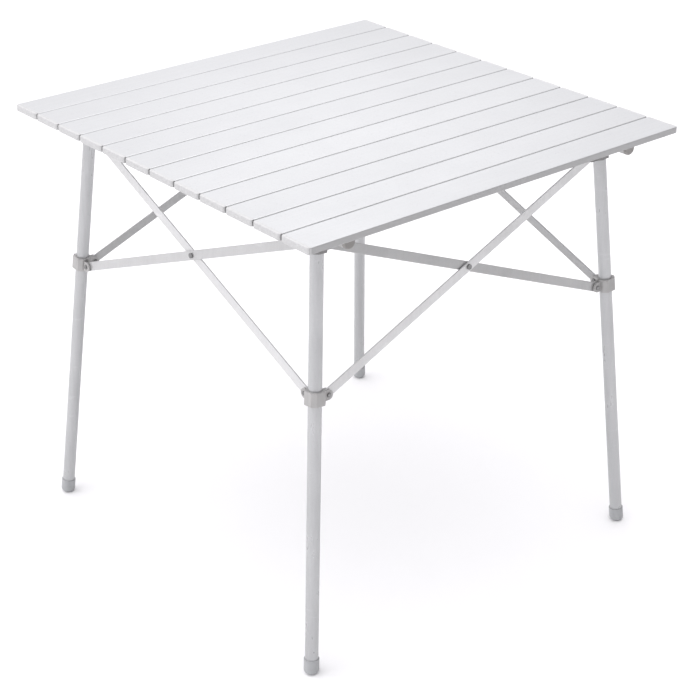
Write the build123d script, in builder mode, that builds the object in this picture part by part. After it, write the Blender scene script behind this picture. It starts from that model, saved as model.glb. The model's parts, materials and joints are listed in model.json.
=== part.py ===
"""Folding side table: a roll-up slatted top on a four-leg scissor frame.

The slats run along X and the two rails that carry them run along Y.  Z is up and the origin is on
the floor under the middle of the top.  Each corner and each side is the same piece turned by a
quarter, so the leg pieces are drawn for the front left corner and the bars for the front side.
"""
from build123d import *
import os
from math import atan2, degrees, hypot

# Driving dimensions, in millimetres
top_size = 700.0
top_height = 680.0

slat_count = 12
slat_gap = 2.0
slat_thickness = 10.0
slat_wall = 1.0
slat_corner = 1.6
slat_cap_thickness = 5.0
slat_plan_round = 4.6
slat_cap_depth = 10.0
slat_fit = 0.1
cord_spread = 265.0
cord_hole_radius = 2.2
cord_drop = 3.4

rail_spread = 267.0
rail_length = 666.0
rail_radius = 10.0
rail_wall = 1.5
rail_cap_thickness = 5.0
rail_cap_depth = 14.0
rail_cap_round = 2.5
screw_inset = 46.0
screw_radius = 2.0
screw_head_radius = 3.6
screw_head_height = 2.0

leg_radius = 9.7
leg_wall = 1.2
leg_foot_spread = 323.1
leg_top_spread = 267.4

foot_radius = 11.2
foot_height = 23.5
foot_floor = 5.0
foot_round = 6.5

bar_width = 14.0
bar_thickness = 2.5
bar_round = 0.6
bar_gap = 0.5
outer_bar_depth = -1.9

pivot_reach = 20.0
top_pivot_height = 633.0
collar_pivot_height = 421.5

connector_width = 25.0
connector_bottom = 627.5
connector_tube_stop = 643.0
lip_height = 5.0
lip_thickness = 4.2
lip_length = 14.0
lip_root = 9.0
lip_gap = 0.7
block_chamfer = 5.5
block_round = 1.0

collar_width = 26.0
collar_bottom = 412.5
collar_top = 433.5
collar_clearance = 0.3

ear_radius = 7.4
cheek_thickness = 3.0
connector_slot_clearance = 0.25
collar_slot_clearance = 0.65
slot_root = 12.0
slot_above = 8.2
far_above = 40.0
pin_radius = 2.0
pin_clearance = 0.05
closing_hole_radius = 3.7
fork_head_radius = 3.3
cross_head_radius = 4.0
rivet_head_height = 2.0
rivet_head_round = 1.2
rest_clearance = 0.3

# Sizes worked out from them
slat_pitch = (top_size + slat_gap) / slat_count
slat_width = slat_pitch - slat_gap
slat_middle = top_height - slat_thickness / 2
slat_underside = top_height - slat_thickness
cord_height = top_height - cord_drop
cell_width = (slat_width - 3 * slat_wall) / 2
cell_height = slat_thickness - 2 * slat_wall
rail_height = slat_underside - rest_clearance - rail_radius
rail_underside = rail_height - rail_radius
screw_y = screw_inset - top_size / 2
inner_bar_depth = outer_bar_depth + bar_thickness + bar_gap
splay = (leg_foot_spread - leg_top_spread) / top_height
slant = hypot(1, splay)
leg_stretch = hypot(1, splay, splay)

corners = {"front_left": 0, "front_right": 90, "rear_right": 180, "rear_left": 270}
sides = {"front": 0, "right": 90, "rear": 180, "left": 270}


def leg_spread(height):
    """Distance of a leg's axis from the middle planes at this height."""
    return leg_foot_spread - splay * height


def leg_plane(height):
    """Plane across the front left leg where its axis passes this height."""
    spread = leg_spread(height)
    return Plane(origin=(-spread, -spread, height), x_dir=(1, 0, -splay), z_dir=(splay, splay, 1))


# The front side's face holds both front legs' axes; its local Y climbs the slant.
front_face = Plane(origin=(0, -leg_foot_spread, 0), x_dir=(1, 0, 0), z_dir=(0, -1, splay))
left_face = Plane(origin=(-leg_foot_spread, 0, 0), x_dir=(0, -1, 0), z_dir=(-1, 0, splay))


def pivot_point(height, inboard):
    """Pivot beside the front left leg, in a face's own coordinates."""
    return (-inboard * (leg_spread(height) - pivot_reach), height * slant)


def save(part, name):
    """Label one finished node and write it."""
    part.label = name
    export_step(part, f"parts/{name}.step")


def save_turned(part, stem, places):
    """Write the same piece at each quarter turn."""
    for place, angle in places.items():
        save(part.rotate(Axis.Z, angle), f"{stem}_{place}")


os.makedirs("parts", exist_ok=True)

# Slats: a two-cell extrusion with a pressed-in plug at each end
plug_plane = Plane(
    origin=(top_size / 2 - slat_cap_thickness, 0, slat_middle),
    x_dir=(0, 1, 0),
    z_dir=(1, 0, 0),
)
with BuildPart() as end_plug:
    with BuildSketch(plug_plane):
        Rectangle(slat_width, slat_thickness)
    extrude(amount=slat_cap_thickness)
    fillet(end_plug.edges().filter_by(Axis.Z).group_by(Axis.X)[-1], slat_plan_round)
    rims = end_plug.edges().group_by(Axis.Z)[0] + end_plug.edges().group_by(Axis.Z)[-1]
    seat_x = top_size / 2 - slat_cap_thickness
    fillet(rims.filter_by(lambda edge: edge.center().X > seat_x + slat_fit), slat_corner)
    with BuildSketch(plug_plane):
        with GridLocations(cell_width + slat_wall, 0, 2, 1):
            Rectangle(cell_width - 2 * slat_fit, cell_height - 2 * slat_fit)
    extrude(amount=-slat_cap_depth)
plug_pair = [end_plug.part, end_plug.part.rotate(Axis.Z, 180)]

for index in range(slat_count):
    slat_y = -top_size / 2 + slat_width / 2 + index * slat_pitch
    section = Plane(origin=(0, slat_y, slat_middle), x_dir=(0, 1, 0), z_dir=(1, 0, 0))
    tube_half = top_size / 2 - slat_cap_thickness - slat_fit
    # The cord is tied off inside the first and last slats, so their outer walls stay whole
    cord_start = slat_y if index == 0 else slat_y - slat_width
    cord_end = slat_y if index == slat_count - 1 else slat_y + slat_width
    with BuildPart() as slat:
        with BuildSketch(section):
            RectangleRounded(slat_width, slat_thickness, slat_corner)
            with GridLocations(cell_width + slat_wall, 0, 2, 1):
                Rectangle(cell_width, cell_height, mode=Mode.SUBTRACT)
        extrude(amount=tube_half, both=True)
        with BuildSketch(Plane.XZ.offset(-cord_end)):
            with Locations((-cord_spread, cord_height), (cord_spread, cord_height)):
                Circle(cord_hole_radius)
        extrude(amount=cord_end - cord_start, mode=Mode.SUBTRACT)
        if index == 0:
            with BuildSketch(Plane.XY.offset(slat_underside)):
                with Locations((-rail_spread, screw_y), (rail_spread, screw_y)):
                    Circle(screw_radius + slat_fit)
            extrude(amount=slat_wall + slat_fit, mode=Mode.SUBTRACT)
    plugs = [plug.moved(Location((0, slat_y, 0))) for plug in plug_pair]
    save(Compound(children=[slat.part, *plugs]), f"slat_{index + 1:02d}")

# Rails: two round tubes across the slats, screwed to the first slat
for name, rail_x in (("rail_left", -rail_spread), ("rail_right", rail_spread)):
    rail_plane = Plane(origin=(rail_x, 0, rail_height), x_dir=(1, 0, 0), z_dir=(0, 1, 0))
    with BuildPart() as rail:
        with BuildSketch(rail_plane):
            Circle(rail_radius)
            Circle(rail_radius - rail_wall, mode=Mode.SUBTRACT)
        extrude(amount=rail_length / 2 - rail_cap_thickness, both=True)
        with BuildSketch(Plane.XY.offset(rail_underside)):
            with Locations((rail_x, screw_y)):
                Circle(screw_radius + slat_fit)
        extrude(amount=2 * rail_radius, mode=Mode.SUBTRACT)
    save(rail.part, name)

with BuildPart() as rail_caps:
    for rail_x in (-rail_spread, rail_spread):
        for end in (-1, 1):
            cap_origin = (rail_x, end * (rail_length / 2 - rail_cap_thickness), rail_height)
            cap_plane = Plane(origin=cap_origin, x_dir=(1, 0, 0), z_dir=(0, end, 0))
            with BuildSketch(cap_plane.offset(slat_fit)):
                Circle(rail_radius)
            extrude(amount=rail_cap_thickness - slat_fit)
            with BuildSketch(cap_plane.offset(slat_fit)):
                Circle(rail_radius - rail_wall - slat_fit)
            extrude(amount=-rail_cap_depth)
    end_edges = rail_caps.edges().group_by(Axis.Y)[0] + rail_caps.edges().group_by(Axis.Y)[-1]
    fillet(end_edges, rail_cap_round)
save(rail_caps.part, "rail_caps")

with BuildPart() as rail_screws:
    with BuildSketch(Plane.XY.offset(rail_underside - screw_head_height)):
        with Locations((-rail_spread, screw_y), (rail_spread, screw_y)):
            Circle(screw_head_radius)
    extrude(amount=screw_head_height)
    with BuildSketch(Plane.XY.offset(rail_underside)):
        with Locations((-rail_spread, screw_y), (rail_spread, screw_y)):
            Circle(screw_radius)
    extrude(amount=slat_underside + slat_wall - rail_underside)
save(rail_screws.part, "rail_screws")

# Leg tubes and feet
tube_start = leg_plane(foot_floor)
tube_length = (connector_tube_stop - foot_floor) * leg_stretch
with BuildPart() as leg_tube:
    with BuildSketch(tube_start):
        Circle(leg_radius)
        Circle(leg_radius - leg_wall, mode=Mode.SUBTRACT)
    extrude(amount=tube_length)
save_turned(leg_tube.part, "leg_tube", corners)

with BuildPart() as foot:
    with BuildSketch(leg_plane(-foot_floor)):
        Circle(foot_radius)
    extrude(amount=foot_height + foot_floor)
    with BuildSketch(leg_plane(foot_floor - slat_fit)):
        Circle(leg_radius + pin_clearance)
    extrude(amount=foot_height, mode=Mode.SUBTRACT)
    split(bisect_by=Plane.XY, keep=Keep.TOP)
    fillet(foot.edges().group_by(Axis.Z)[0], foot_round)
save_turned(foot.part, "leg_foot", corners)


def fork_depths(bar_depth, clearance):
    """Inward depths of a fork's slot faces around a bar at this depth."""
    return bar_depth - clearance, bar_depth + bar_thickness + clearance


def fork_body(face, pivot, inboard, bar_depth, clearance):
    """One fork beside the leg, still solid, with its ear round the pivot."""
    near, far = fork_depths(bar_depth, clearance)
    with BuildPart() as body:
        with BuildSketch(face.offset(-far - cheek_thickness)):
            with Locations(pivot):
                Circle(ear_radius)
            with Locations((pivot[0] - inboard * pivot_reach / 2, pivot[1])):
                Rectangle(pivot_reach, 2 * ear_radius)
        extrude(amount=far - near + 2 * cheek_thickness)
    return body.part


def fork_cut(face, pivot, inboard, bar_depth, clearance, slot_high):
    """What is cut from a fork: the slot that the bar swings in and the rivet's hole."""
    near, far = fork_depths(bar_depth, clearance)
    slot_middle = (pivot[0] + inboard * (slot_root - pivot_reach / 2), pivot[1] + (slot_high - far_above) / 2)
    with BuildPart() as cut:
        with BuildSketch(face.offset(-far)):
            with Locations(slot_middle):
                Rectangle(pivot_reach, slot_high + far_above)
        extrude(amount=far - near)
        with BuildSketch(face.offset(-far - cheek_thickness)):
            with Locations(pivot):
                Circle(pin_radius + pin_clearance)
        extrude(amount=far - near + 2 * cheek_thickness)
    return cut.part


def fork_rivet(face, pivot, bar_depth, clearance, through):
    """Rivet of a fork: one piece through the bar, or a half rivet in each cheek."""
    near, far = fork_depths(bar_depth, clearance)
    shank = far - near + 2 * cheek_thickness if through else cheek_thickness
    with BuildPart() as rivet:
        outer_seat = face.offset(cheek_thickness - near)
        inner_seat = face.offset(-far - cheek_thickness)
        for plane, outward in ((outer_seat, 1), (inner_seat, -1)):
            with BuildSketch(plane):
                with Locations(pivot):
                    Circle(fork_head_radius)
            extrude(amount=outward * rivet_head_height)
            with BuildSketch(plane):
                with Locations(pivot):
                    Circle(pin_radius)
            extrude(amount=-outward * shank)
        rims = rivet.edges().filter_by(lambda edge: edge.geom_type == GeomType.CIRCLE)
        rims = rims.filter_by(lambda rim: rim.radius > pin_radius + pin_clearance)
        rims = rims.sort_by(Axis(face.origin, face.z_dir))
        fillet([rims[0], rims[-1]], rivet_head_round)
    return rivet.part


front_top = pivot_point(top_pivot_height, 1)
left_top = pivot_point(top_pivot_height, -1)
front_low = pivot_point(collar_pivot_height, 1)
left_low = pivot_point(collar_pivot_height, -1)

# Connectors: the block on each leg's top, with two forks and an inner lip beside the rail
connector_top = rail_underside - rest_clearance
connector_forks = [
    fork_body(front_face, front_top, 1, inner_bar_depth, connector_slot_clearance),
    fork_body(left_face, left_top, -1, outer_bar_depth, connector_slot_clearance),
]
connector_cuts = [
    fork_cut(front_face, front_top, 1, inner_bar_depth, connector_slot_clearance, slot_above),
    fork_cut(left_face, left_top, -1, outer_bar_depth, connector_slot_clearance, slot_above),
]
lip_inner = lip_gap + lip_thickness / 2 - (rail_spread - rail_radius)
lip_leg = -leg_spread(connector_top)
for place, angle in corners.items():
    rail_along_y = angle in (0, 180)
    lip_place = (lip_inner, lip_leg) if rail_along_y else (lip_leg, lip_inner)
    lip_size = (lip_thickness, lip_length) if rail_along_y else (lip_length, lip_thickness)
    root_middle = lip_inner - (lip_root - lip_thickness) / 2
    root_place = (root_middle, lip_leg) if rail_along_y else (lip_leg, root_middle)
    root_size = (lip_root, lip_length) if rail_along_y else (lip_length, lip_root)
    with BuildPart() as connector:
        with BuildSketch(leg_plane(connector_bottom)) as block:
            Rectangle(connector_width, connector_width)
            chamfer(block.vertices(), block_chamfer)
            fillet(block.vertices(), block_round)
        extrude(amount=far_above)
        add(connector_forks)
        split(bisect_by=Plane.XY.offset(connector_top), keep=Keep.BOTTOM)
        with BuildSketch(Plane.XY.offset(connector_top - lip_height)):
            with Locations(lip_place):
                Rectangle(*lip_size)
        extrude(amount=2 * lip_height)
        with BuildSketch(Plane.XY.offset(connector_top - lip_height)):
            with Locations(root_place):
                Rectangle(*root_size)
        extrude(amount=lip_height)
        add(connector_cuts, mode=Mode.SUBTRACT)
        with BuildSketch(leg_plane(connector_bottom - 2 * lip_height)):
            Circle(leg_radius + pin_clearance)
        bore_length = (connector_tube_stop - connector_bottom + 2 * lip_height) * leg_stretch + slat_fit
        extrude(amount=bore_length, mode=Mode.SUBTRACT)
    save(connector.part.rotate(Axis.Z, angle), f"connector_{place}")

front_rivet = fork_rivet(front_face, front_top, inner_bar_depth, connector_slot_clearance, True)
left_rivet = fork_rivet(left_face, left_top, outer_bar_depth, connector_slot_clearance, True)
save_turned(Compound(children=[front_rivet, left_rivet]), "connector_rivets", corners)

# Collars: the sliding sleeve on each leg, with a fork for each lower bar end
collar_forks = [
    fork_body(front_face, front_low, 1, outer_bar_depth, collar_slot_clearance),
    fork_body(left_face, left_low, -1, inner_bar_depth, collar_slot_clearance),
]
collar_cuts = [
    fork_cut(front_face, front_low, 1, outer_bar_depth, collar_slot_clearance, far_above),
    fork_cut(left_face, left_low, -1, inner_bar_depth, collar_slot_clearance, far_above),
]
with BuildPart() as collar:
    with BuildSketch(leg_plane(collar_bottom)) as block:
        Rectangle(collar_width, collar_width)
        chamfer(block.vertices(), block_chamfer)
        fillet(block.vertices(), block_round)
    extrude(amount=collar_top - collar_bottom)
    fillet(collar.faces().sort_by(Axis.Z)[0].edges() + collar.faces().sort_by(Axis.Z)[-1].edges(), block_round)
    add(collar_forks)
    add(collar_cuts, mode=Mode.SUBTRACT)
    with BuildSketch(leg_plane(collar_bottom - far_above)):
        Circle(leg_radius + collar_clearance)
    extrude(amount=3 * far_above, mode=Mode.SUBTRACT)
save_turned(collar.part, "collar", corners)

front_rivet = fork_rivet(front_face, front_low, outer_bar_depth, collar_slot_clearance, False)
left_rivet = fork_rivet(left_face, left_low, inner_bar_depth, collar_slot_clearance, False)
save_turned(Compound(children=[front_rivet, left_rivet]), "collar_rivets", corners)

# Bars: an outer and an inner one on each side, crossing at a rivet
top_x = leg_spread(top_pivot_height) - pivot_reach
low_x = leg_spread(collar_pivot_height) - pivot_reach
top_y = top_pivot_height * slant
low_y = collar_pivot_height * slant
bar_length = hypot(top_x + low_x, top_y - low_y)
bar_slope = degrees(atan2(top_y - low_y, top_x + low_x))
cross_y = top_y - (top_y - low_y) * top_x / (top_x + low_x)


def flat_bar(depth, rise, cross_hole):
    """Flat bar in the front face; rise is +1 when it climbs to the right."""
    with BuildPart() as bar:
        with BuildSketch(front_face.offset(-depth - bar_thickness)):
            with Locations((rise * (top_x - low_x) / 2, (top_y + low_y) / 2)):
                SlotCenterToCenter(bar_length, bar_width, rotation=rise * bar_slope)
        extrude(amount=bar_thickness)
        fillet(bar.edges().filter_by(front_face), bar_round)
        with BuildSketch(front_face.offset(-depth - bar_thickness)):
            with Locations((rise * top_x, top_y), (-rise * low_x, low_y)):
                Circle(pin_radius + pin_clearance)
            with Locations((0, cross_y)):
                Circle(cross_hole)
        extrude(amount=bar_thickness, mode=Mode.SUBTRACT)
    return bar.part


outer_bar = flat_bar(outer_bar_depth, 1, pin_radius + pin_clearance)
inner_bar = flat_bar(inner_bar_depth, -1, pin_radius + pin_clearance)
closing_bar = flat_bar(inner_bar_depth, -1, closing_hole_radius)
for side, angle in sides.items():
    save(outer_bar.rotate(Axis.Z, angle), f"bar_outer_{side}")
    chosen = closing_bar if side == "right" else inner_bar
    save(chosen.rotate(Axis.Z, angle), f"bar_inner_{side}")

with BuildPart() as cross_rivet:
    pack_depth = inner_bar_depth + bar_thickness
    with BuildSketch(front_face.offset(-outer_bar_depth)):
        with Locations((0, cross_y)):
            Circle(cross_head_radius)
    extrude(amount=rivet_head_height)
    with BuildSketch(front_face.offset(-outer_bar_depth)):
        with Locations((0, cross_y)):
            Circle(pin_radius)
    extrude(amount=-(pack_depth - outer_bar_depth + bar_gap))
    with BuildSketch(front_face.offset(-pack_depth - bar_gap)):
        with Locations((0, cross_y)):
            Circle(cross_head_radius)
    extrude(amount=-rivet_head_height)
save_turned(cross_rivet.part, "cross_rivet", sides)
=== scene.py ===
import json
import math
import bmesh
import bpy
from mathutils import Matrix, Vector


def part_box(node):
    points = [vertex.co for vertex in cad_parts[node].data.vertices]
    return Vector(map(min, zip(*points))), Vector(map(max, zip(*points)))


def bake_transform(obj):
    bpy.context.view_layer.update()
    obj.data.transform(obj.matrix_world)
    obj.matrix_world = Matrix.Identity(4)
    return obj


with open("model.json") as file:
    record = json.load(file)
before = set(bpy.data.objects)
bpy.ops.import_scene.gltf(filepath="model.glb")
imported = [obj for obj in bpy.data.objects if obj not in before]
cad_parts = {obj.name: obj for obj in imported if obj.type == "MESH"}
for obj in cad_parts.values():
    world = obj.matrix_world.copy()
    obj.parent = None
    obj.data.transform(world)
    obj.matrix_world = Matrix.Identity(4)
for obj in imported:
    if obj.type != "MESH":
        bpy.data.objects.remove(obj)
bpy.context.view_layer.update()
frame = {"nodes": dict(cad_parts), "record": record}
nodes = frame["nodes"]
scene = bpy.context.scene

# Lengths are in metres. The slats run along X, the rails along Y, and the feet stand at Z = 0.
SLATS = sorted(name for name in nodes if name.startswith("slat_"))
CORNERS = ["front_left", "front_right", "rear_right", "rear_left"]
SLAT_LOW, SLAT_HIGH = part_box(SLATS[0])
SLAT_WIDTH = SLAT_HIGH.y - SLAT_LOW.y
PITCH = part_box(SLATS[1])[0].y - SLAT_LOW.y
HALF_TOP = SLAT_HIGH.x
PLUG_LENGTH = 0.005
CORD_X = 0.265
CORD_Z = SLAT_HIGH.z - 0.0034
CORD_RADIUS = 0.0018
CORD_HOLD = 0.006  # length held inside each slat
METAL_GRAIN = 0.00004
NYLON_GRAIN = 0.00005
PLATED_GRAIN = 0.00003
BRAID_DEPTH = 0.00025
FLOOR_HALF_WIDTH = 70.0


# ---------------------------------------------------------------- camera and light
def aim(thing, target):
    """Turn a camera or a light to look at a point."""
    direction = Vector(target) - thing.location
    thing.rotation_euler = direction.to_track_quat("-Z", "Y").to_euler()


camera_data = bpy.data.cameras.new("camera")
camera_data.lens = 91.9
camera_data.sensor_width = 36.0
camera_data.shift_x = 0.0543
camera = bpy.data.objects.new("camera", camera_data)
scene.collection.objects.link(camera)
camera.location = (-1.638, -1.927, 1.578)
aim(camera, (-0.112, -0.067, 0.350))
scene.camera = camera
scene.view_settings.view_transform = "Standard"


def area_light(name, place, target, size, power):
    """Add a rectangular softbox of a size in metres and a power in watts."""
    data = bpy.data.lights.new(name, "AREA")
    data.shape = "RECTANGLE"
    data.size, data.size_y = size
    data.energy = power
    light = bpy.data.objects.new(name, data)
    scene.collection.objects.link(light)
    light.location = place
    aim(light, target)


area_light("overhead", (0.02, 0.02, 1.50), (0.02, 0.02, 0.6), (0.6, 0.6), 4.2)
area_light("left_side", (-3.0, 1.3, 1.4), (0, 0, 0.4), (2.4, 2.0), 8)


def make_world():
    """Studio surround: bright overhead and to the left, darker to the front right."""
    world = bpy.data.worlds.new("studio")
    world.use_nodes = True
    tree = world.node_tree
    direction = tree.nodes.new("ShaderNodeTexCoord").outputs["Generated"]
    split = tree.nodes.new("ShaderNodeSeparateXYZ")
    tree.links.new(direction, split.inputs[0])

    def maths(operation, first, second):
        made = tree.nodes.new("ShaderNodeMath")
        made.operation = operation
        for index, value in enumerate((first, second)):
            if isinstance(value, bpy.types.NodeSocket):
                tree.links.new(value, made.inputs[index])
            else:
                made.inputs[index].default_value = value
        return made.outputs[0]

    height = maths("MAXIMUM", split.outputs["Z"], 0.0)
    overhead = maths("MULTIPLY", maths("POWER", height, 2.0), 1.50)
    left = maths("MULTIPLY", maths("MAXIMUM", maths("MULTIPLY", split.outputs["X"], -1.0), 0.0), 0.86)
    back = maths("MULTIPLY", maths("MAXIMUM", split.outputs["Y"], 0.0), 0.62)
    total = maths("ADD", maths("ADD", overhead, 0.18), maths("ADD", left, back))
    background = tree.nodes["Background"]
    background.inputs["Color"].default_value = (0.998, 0.985, 1.012, 1)
    tree.links.new(total, background.inputs["Strength"])
    scene.world = world


make_world()


# ---------------------------------------------------------------- material tools
class Look:
    """One procedural material; an input may be a number, a colour or another node's output."""

    def __init__(self, name, metallic, roughness):
        self.material = bpy.data.materials.new(name)
        self.material.use_nodes = True
        self.tree = self.material.node_tree
        self.tree.nodes.clear()
        self.shader = self.tree.nodes.new("ShaderNodeBsdfPrincipled")
        output = self.tree.nodes.new("ShaderNodeOutputMaterial")
        self.tree.links.new(self.shader.outputs["BSDF"], output.inputs["Surface"])
        self.shader.inputs["Metallic"].default_value = metallic
        self.shader.inputs["Roughness"].default_value = roughness
        self.place = self.node("ShaderNodeTexCoord").outputs["Object"]

    def set(self, node, key, value):
        """Link an output to a node's input, or write a number or a colour there."""
        if isinstance(value, bpy.types.NodeSocket):
            self.tree.links.new(value, node.inputs[key])
        else:
            node.inputs[key].default_value = value

    def node(self, kind, inputs=None, **settings):
        made = self.tree.nodes.new(kind)
        for key, value in settings.items():
            setattr(made, key, value)
        for key, value in (inputs or {}).items():
            self.set(made, key, value)
        return made

    def noise(self, scale, stretch=(1, 1, 1), detail=3.0, shift=(0, 0, 0)):
        """Noise of a scale per metre in the piece's own coordinates."""
        mapped = self.node("ShaderNodeMapping", {"Vector": self.place, "Scale": stretch, "Location": shift})
        wanted = {"Vector": mapped.outputs["Vector"], "Scale": scale, "Detail": detail}
        return self.node("ShaderNodeTexNoise", wanted).outputs["Fac"]

    def math(self, operation, first, second=0.0):
        return self.node("ShaderNodeMath", {0: first, 1: second}, operation=operation).outputs[0]

    def spread(self, value, low, high, to_low=0.0, to_high=1.0):
        """Map the range low to high onto to_low to to_high, and hold it there."""
        wanted = {"Value": value, "From Min": low, "From Max": high, "To Min": to_low, "To Max": to_high}
        return self.node("ShaderNodeMapRange", wanted).outputs["Result"]

    def mix(self, factor, first, second):
        """Blend two colours; sockets 6, 7 and 2 are the colour ones of a Mix node."""
        made = self.node("ShaderNodeMix", {0: factor, 6: first, 7: second}, data_type="RGBA")
        return made.outputs[2]

    def axis(self, index):
        """The piece's own X, Y or Z coordinate."""
        return self.node("ShaderNodeSeparateXYZ", {"Vector": self.place}).outputs[index]

    def colour(self, value):
        self.set(self.shader, "Base Color", value)

    def rough(self, value):
        self.set(self.shader, "Roughness", value)

    def bump(self, height, distance):
        made = self.node("ShaderNodeBump", {"Height": height, "Distance": distance, "Strength": 1.0})
        self.set(self.shader, "Normal", made.outputs["Normal"])

    def edge(self, radius):
        """About 1 on a piece's own edges and 0 away from them, from how far a rounded normal turns."""
        rounded = self.node("ShaderNodeBevel", {"Radius": radius}, samples=6).outputs["Normal"]
        flat = self.node("ShaderNodeNewGeometry").outputs["Normal"]
        dot = self.node("ShaderNodeVectorMath", {0: rounded, 1: flat}, operation="DOT_PRODUCT")
        return self.spread(dot.outputs["Value"], 0.995, 0.90)


def tint(grey, warm=0.0):
    """A near-grey colour; warm is positive towards yellow and negative towards blue."""
    return (grey * (1 + warm), grey, grey * (1 - warm), 1)


def anodised(name, grey, warm, run, roughness):
    """Satin anodised aluminium; run is the axis, 0 to 2, that its extrusion lines follow."""
    look = Look(name, 0.55, roughness)
    lines = look.noise(1.0, [1.5 if i == run else 320.0 for i in range(3)], 4.0)
    cloud = look.noise(9.0, (1, 1, 1), 3.0)
    grains = look.noise(1300.0, (1, 1, 1), 2.0)
    smudge = look.noise(22.0, (1, 1, 1), 5.0, (3, 1, 7))
    scuff = look.noise(1.0, [140.0 if i == run else 30.0 for i in range(3)], 6.0, (9, 2, 4))
    base = look.mix(look.spread(cloud, 0.35, 0.65), tint(grey * 0.97, warm), tint(grey * 1.03, warm))
    base = look.mix(look.spread(lines, 0.3, 0.7, 0.0, 0.30), base, tint(grey * 0.88, warm))
    base = look.mix(look.spread(grains, 0.5, 0.68, 0.0, 0.4), base, tint(grey * 0.78, warm))
    base = look.mix(look.spread(scuff, 0.64, 0.70, 0.0, 0.30), base, tint(grey * 1.18, warm))
    worn_edge = look.math("MULTIPLY", look.edge(0.0008), look.spread(smudge, 0.35, 0.6, 0.2, 0.8))
    base = look.mix(worn_edge, base, tint(min(0.92, grey * 1.3)))
    look.colour(base)
    handled = look.spread(smudge, 0.4, 0.7, -0.05, 0.09)
    worn = look.math("ADD", handled, look.spread(lines, 0.3, 0.7, -0.03, 0.05))
    look.rough(look.math("ADD", worn, roughness))
    height = look.math("ADD", look.math("MULTIPLY", lines, 0.7), look.math("MULTIPLY", grains, 0.5))
    look.bump(height, METAL_GRAIN)
    return look


def moulded(name, grey, warm):
    """Moulded nylon with a fine spark-eroded grain and rubbed patches."""
    look = Look(name, 0.0, 0.5)
    cloud = look.noise(35.0, (1, 1, 1), 4.0)
    grains = look.noise(1500.0, (1, 1, 1), 3.0)
    rub = look.noise(90.0, (1, 1, 0.3), 5.0, (2, 5, 1))
    base = look.mix(look.spread(cloud, 0.35, 0.65), tint(grey * 0.92, warm), tint(grey * 1.06, warm))
    base = look.mix(look.spread(rub, 0.58, 0.72, 0.0, 0.4), base, tint(grey * 1.2, warm))
    base = look.mix(look.math("MULTIPLY", look.edge(0.0009), 0.55), base, tint(min(0.9, grey * 1.45), warm))
    look.colour(base)
    look.rough(look.spread(rub, 0.35, 0.7, 0.56, 0.38))
    look.bump(look.math("ADD", grains, look.math("MULTIPLY", cloud, 0.4)), NYLON_GRAIN)
    return look


def plated(name, grey):
    """Dark plated steel with tumbling marks."""
    look = Look(name, 1.0, 0.34)
    marks = look.noise(700.0, (1, 1, 1), 5.0)
    cloud = look.noise(120.0, (1, 1, 1), 3.0)
    look.colour(look.mix(look.spread(cloud, 0.35, 0.7), tint(grey * 0.8), tint(grey * 1.25)))
    look.rough(look.spread(marks, 0.3, 0.7, 0.26, 0.46))
    look.bump(marks, PLATED_GRAIN)
    return look


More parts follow.
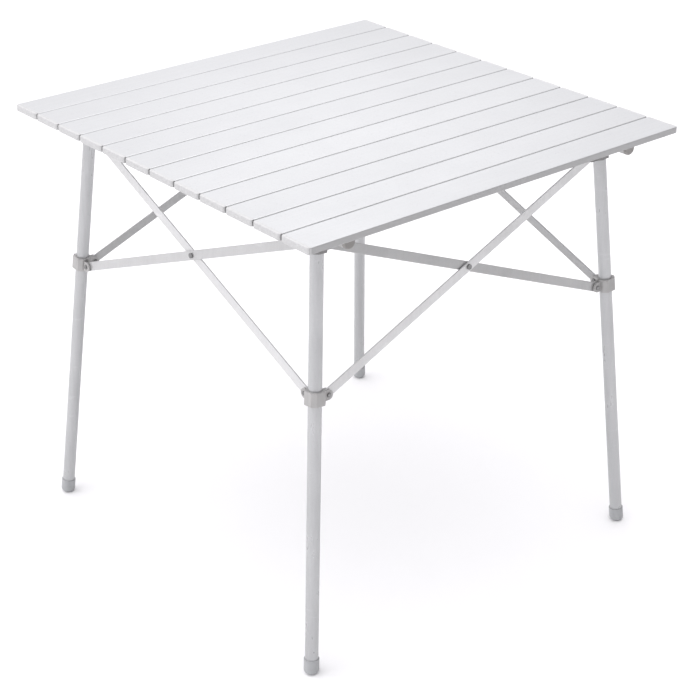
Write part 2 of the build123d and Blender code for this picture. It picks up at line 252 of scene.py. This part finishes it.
def slat_look():
    """Slats: bead-blasted satin anodising, painted shade on the long sides and in the gaps, and moulded grey
    end plugs.
    """
    look = Look("slat_satin", 0.35, 0.45)
    lines = look.noise(1.0, (1.2, 420.0, 420.0), 4.0)
    streaks = look.noise(1.0, (0.9, 60.0, 60.0), 3.0, (0, 4, 2))
    grains = look.noise(1500.0, (1, 1, 1), 2.0)
    flecks = look.noise(620.0, (1, 1, 1), 1.0, (5, 5, 5))
    cloud = look.noise(5.0, (1, 1, 1), 2.0)
    smudge = look.noise(16.0, (1, 1, 1), 6.0, (3, 1, 7))
    base = look.mix(look.spread(cloud, 0.3, 0.7), tint(0.575, -0.012), tint(0.60, -0.012))
    base = look.mix(look.spread(lines, 0.35, 0.7, 0.0, 0.30), base, tint(0.53, -0.01))
    base = look.mix(look.spread(streaks, 0.5, 0.75, 0.0, 0.25), base, tint(0.55, -0.02))
    base = look.mix(look.spread(grains, 0.52, 0.70, 0.0, 0.45), base, tint(0.45, -0.01))
    base = look.mix(look.spread(flecks, 0.68, 0.74, 0.0, 0.6), base, tint(0.38, 0.0))
    along = look.math("DIVIDE", look.math("SUBTRACT", look.axis(1), SLAT_LOW.y), PITCH)
    shade = look.node("ShaderNodeTexWhiteNoise", {"W": look.math("FLOOR", along)}, noise_dimensions="1D")
    base = look.mix(look.spread(shade.outputs["Value"], 0.0, 1.0, 0.0, 0.25), base, tint(0.53, -0.015))
    middle = SLAT_WIDTH / PITCH / 2
    from_middle = look.math("ABSOLUTE", look.math("SUBTRACT", look.math("FRACT", along), middle))
    # Painted shade: the slats' long sides in the gaps get a little darker, and the top's two outer long sides
    # much darker
    side = look.spread(from_middle, middle - 0.016, middle - 0.006)
    outer = look.spread(look.math("ABSOLUTE", look.axis(1)), HALF_TOP - 0.0008, HALF_TOP - 0.0002)
    base = look.mix(look.math("MULTIPLY", side, 0.2), base, tint(0.5, 0.0))
    base = look.mix(look.math("MULTIPLY", outer, 0.9), base, tint(0.36, 0.0))
    seam = HALF_TOP - PLUG_LENGTH
    plug = look.spread(look.math("ABSOLUTE", look.axis(0)), seam - 0.00012, seam - 0.00004)
    mould = look.noise(240.0, (1, 1, 1), 4.0)
    plug_base = look.mix(look.spread(mould, 0.35, 0.65), tint(0.49, 0.0), tint(0.55, 0.0))
    edge = look.edge(0.0010)
    # Painted shade: the plugs' faces in the gaps between the slats are near black
    plug_gap_shade = look.math("MULTIPLY", side, look.math("SUBTRACT", 1.0, outer))
    base = look.mix(plug, base, look.mix(plug_gap_shade, plug_base, tint(0.24, 0.0)))
    base = look.mix(look.math("MULTIPLY", edge, look.spread(smudge, 0.35, 0.6, 0.12, 0.4)), base, tint(0.80))
    look.colour(base)
    look.set(look.shader, "Metallic", look.math("MULTIPLY", look.math("SUBTRACT", 1.0, plug), 0.35))
    handled = look.spread(smudge, 0.35, 0.7, -0.02, 0.03)
    worn = look.math("ADD", handled, look.spread(lines, 0.3, 0.7, 0.40, 0.50))
    look.rough(look.math("ADD", worn, look.math("MULTIPLY", plug, 0.08)))
    height = look.math("ADD", look.math("MULTIPLY", lines, 0.5), look.math("MULTIPLY", grains, 0.7))
    look.bump(height, METAL_GRAIN)
    return look


LOOKS = {
    "slat_aluminium": slat_look(),
    "rail_aluminium": anodised("rail_satin", 0.46, 0.01, 1, 0.42),
    "tube_aluminium": anodised("tube_satin", 0.49, -0.01, 2, 0.34),
    "joint_plastic": moulded("joint_nylon", 0.38, 0.015),
    "foot_plastic": moulded("foot_nylon", 0.38, -0.02),
    # The rail end caps: a warm grey nylon, darkened as painted shade for the shade under the top's edge
    "cap_plastic": moulded("cap_nylon_painted_shade", 0.26, 0.04),
    "rivet_steel": plated("rivet_steel", 0.24),
}
# Painted light and shade: one anodised finish in a light, a middle and a dark grey, each bar given the grey
# of how lit or shaded its faces are
BAR_PAINTED_SHADES = {
    "bar_painted_light": (0.64, ["bar_inner_left", "bar_outer_front"]),
    "bar_painted_midshade": (0.53, ["bar_outer_left", "bar_outer_rear", "bar_inner_right"]),
    "bar_painted_shade": (0.42, ["bar_inner_front", "bar_inner_rear", "bar_outer_right"]),
}
NODE_LOOKS = {}
for look_name, (grey, bars) in BAR_PAINTED_SHADES.items():
    made_look = anodised(look_name, grey, 0.0, 2, 0.38)
    for bar in bars:
        NODE_LOOKS[bar] = made_look
# Painted shade: the connectors under the top get a darker grey than the collars, standing in for the shade
# the top casts on them
connector_shade_look = moulded("connector_nylon_painted_shade", 0.22, 0.015)
for corner in CORNERS:
    NODE_LOOKS["connector_" + corner] = connector_shade_look

slot_of = {part["node"]: part["material_slot"] for part in frame["record"]["subparts"]}
for name, thing in nodes.items():
    finish = NODE_LOOKS[name] if name in NODE_LOOKS else LOOKS[slot_of[name]]
    thing.data.materials.clear()
    thing.data.materials.append(finish.material)
    for face in thing.data.polygons:
        face.material_index = 0


# ---------------------------------------------------------------- elastic cords between the slats
def cord_look():
    """Braided elastic: crossed strands, grey fuzz, and painted shade in the valleys between the strands."""
    look = Look("elastic_braid", 0.0, 0.85)
    turn = look.math("ARCTAN2", look.math("SUBTRACT", look.axis(2), CORD_Z), CORD_RADIUS)
    run = look.math("MULTIPLY", look.axis(1), 2600.0)
    one = look.math("SINE", look.math("ADD", run, look.math("MULTIPLY", turn, 6.0)))
    two = look.math("SINE", look.math("SUBTRACT", run, look.math("MULTIPLY", turn, 6.0)))
    strand = look.spread(look.math("MAXIMUM", one, two), -0.2, 1.0)
    fuzz = look.noise(3000.0, (1, 1, 1), 4.0)
    # Painted shade: the valleys between the strands are darker than the strands' crowns
    base = look.mix(strand, tint(0.10, 0.01), tint(0.30, 0.01))
    look.colour(look.mix(look.spread(fuzz, 0.5, 0.7, 0.0, 0.4), base, tint(0.45, 0.02)))
    look.rough(look.spread(fuzz, 0.3, 0.7, 0.75, 0.95))
    look.bump(look.math("ADD", strand, look.math("MULTIPLY", fuzz, 0.3)), BRAID_DEPTH)
    return look


def braided_tube(name, x, y_start, y_end):
    """Cord from one slat into the next: a tube whose wall is pressed into crossed strands."""
    mesh = bpy.data.meshes.new(name)
    shape = bmesh.new()
    rings, around = 29, 20
    loops = []
    for i in range(rings):
        y = y_start + (y_end - y_start) * i / (rings - 1)
        loop = []
        for j in range(around):
            turn = 2 * math.pi * j / around
            twist = math.pi * (y - y_start) / 0.0024
            weave = max(math.cos(3 * turn + twist), math.cos(3 * turn - twist))
            radius = CORD_RADIUS * (0.92 + 0.08 * weave)
            loop.append(shape.verts.new((x + radius * math.cos(turn), y, CORD_Z + radius * math.sin(turn))))
        loops.append(loop)
    for first, second in zip(loops, loops[1:]):
        for j in range(around):
            k = (j + 1) % around
            shape.faces.new((first[j], first[k], second[k], second[j]))
    shape.faces.new(reversed(loops[0]))
    shape.faces.new(loops[-1])
    bmesh.ops.recalc_face_normals(shape, faces=shape.faces)
    shape.to_mesh(mesh)
    shape.free()
    for face in mesh.polygons:
        face.use_smooth = True
    tube = bpy.data.objects.new(name, mesh)
    scene.collection.objects.link(tube)
    return tube


def make_cords():
    """Two rows of elastic cord, one piece across each gap between two slats."""
    look = cord_look()
    for side, x in (("left", -CORD_X), ("right", CORD_X)):
        for index in range(len(SLATS) - 1):
            gap_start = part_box(SLATS[index])[1].y
            gap_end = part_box(SLATS[index + 1])[0].y
            tube = braided_tube(f"cord_{side}_{index + 1:02d}", x, gap_start - CORD_HOLD, gap_end + CORD_HOLD)
            tube.data.materials.append(look.material)
            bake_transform(tube)


make_cords()


# ---------------------------------------------------------------- floor
def make_floor():
    """A plain white floor, wide enough that its far edge stays out of every view."""
    mesh = bpy.data.meshes.new("floor")
    shape = bmesh.new()
    bmesh.ops.create_grid(shape, x_segments=1, y_segments=1, size=FLOOR_HALF_WIDTH)
    shape.to_mesh(mesh)
    shape.free()
    floor = bpy.data.objects.new("floor", mesh)
    scene.collection.objects.link(floor)
    look = Look("floor_white", 0.0, 0.9)
    look.colour(look.mix(look.noise(3.0), tint(0.985), tint(0.995)))
    mesh.materials.append(look.material)


make_floor()
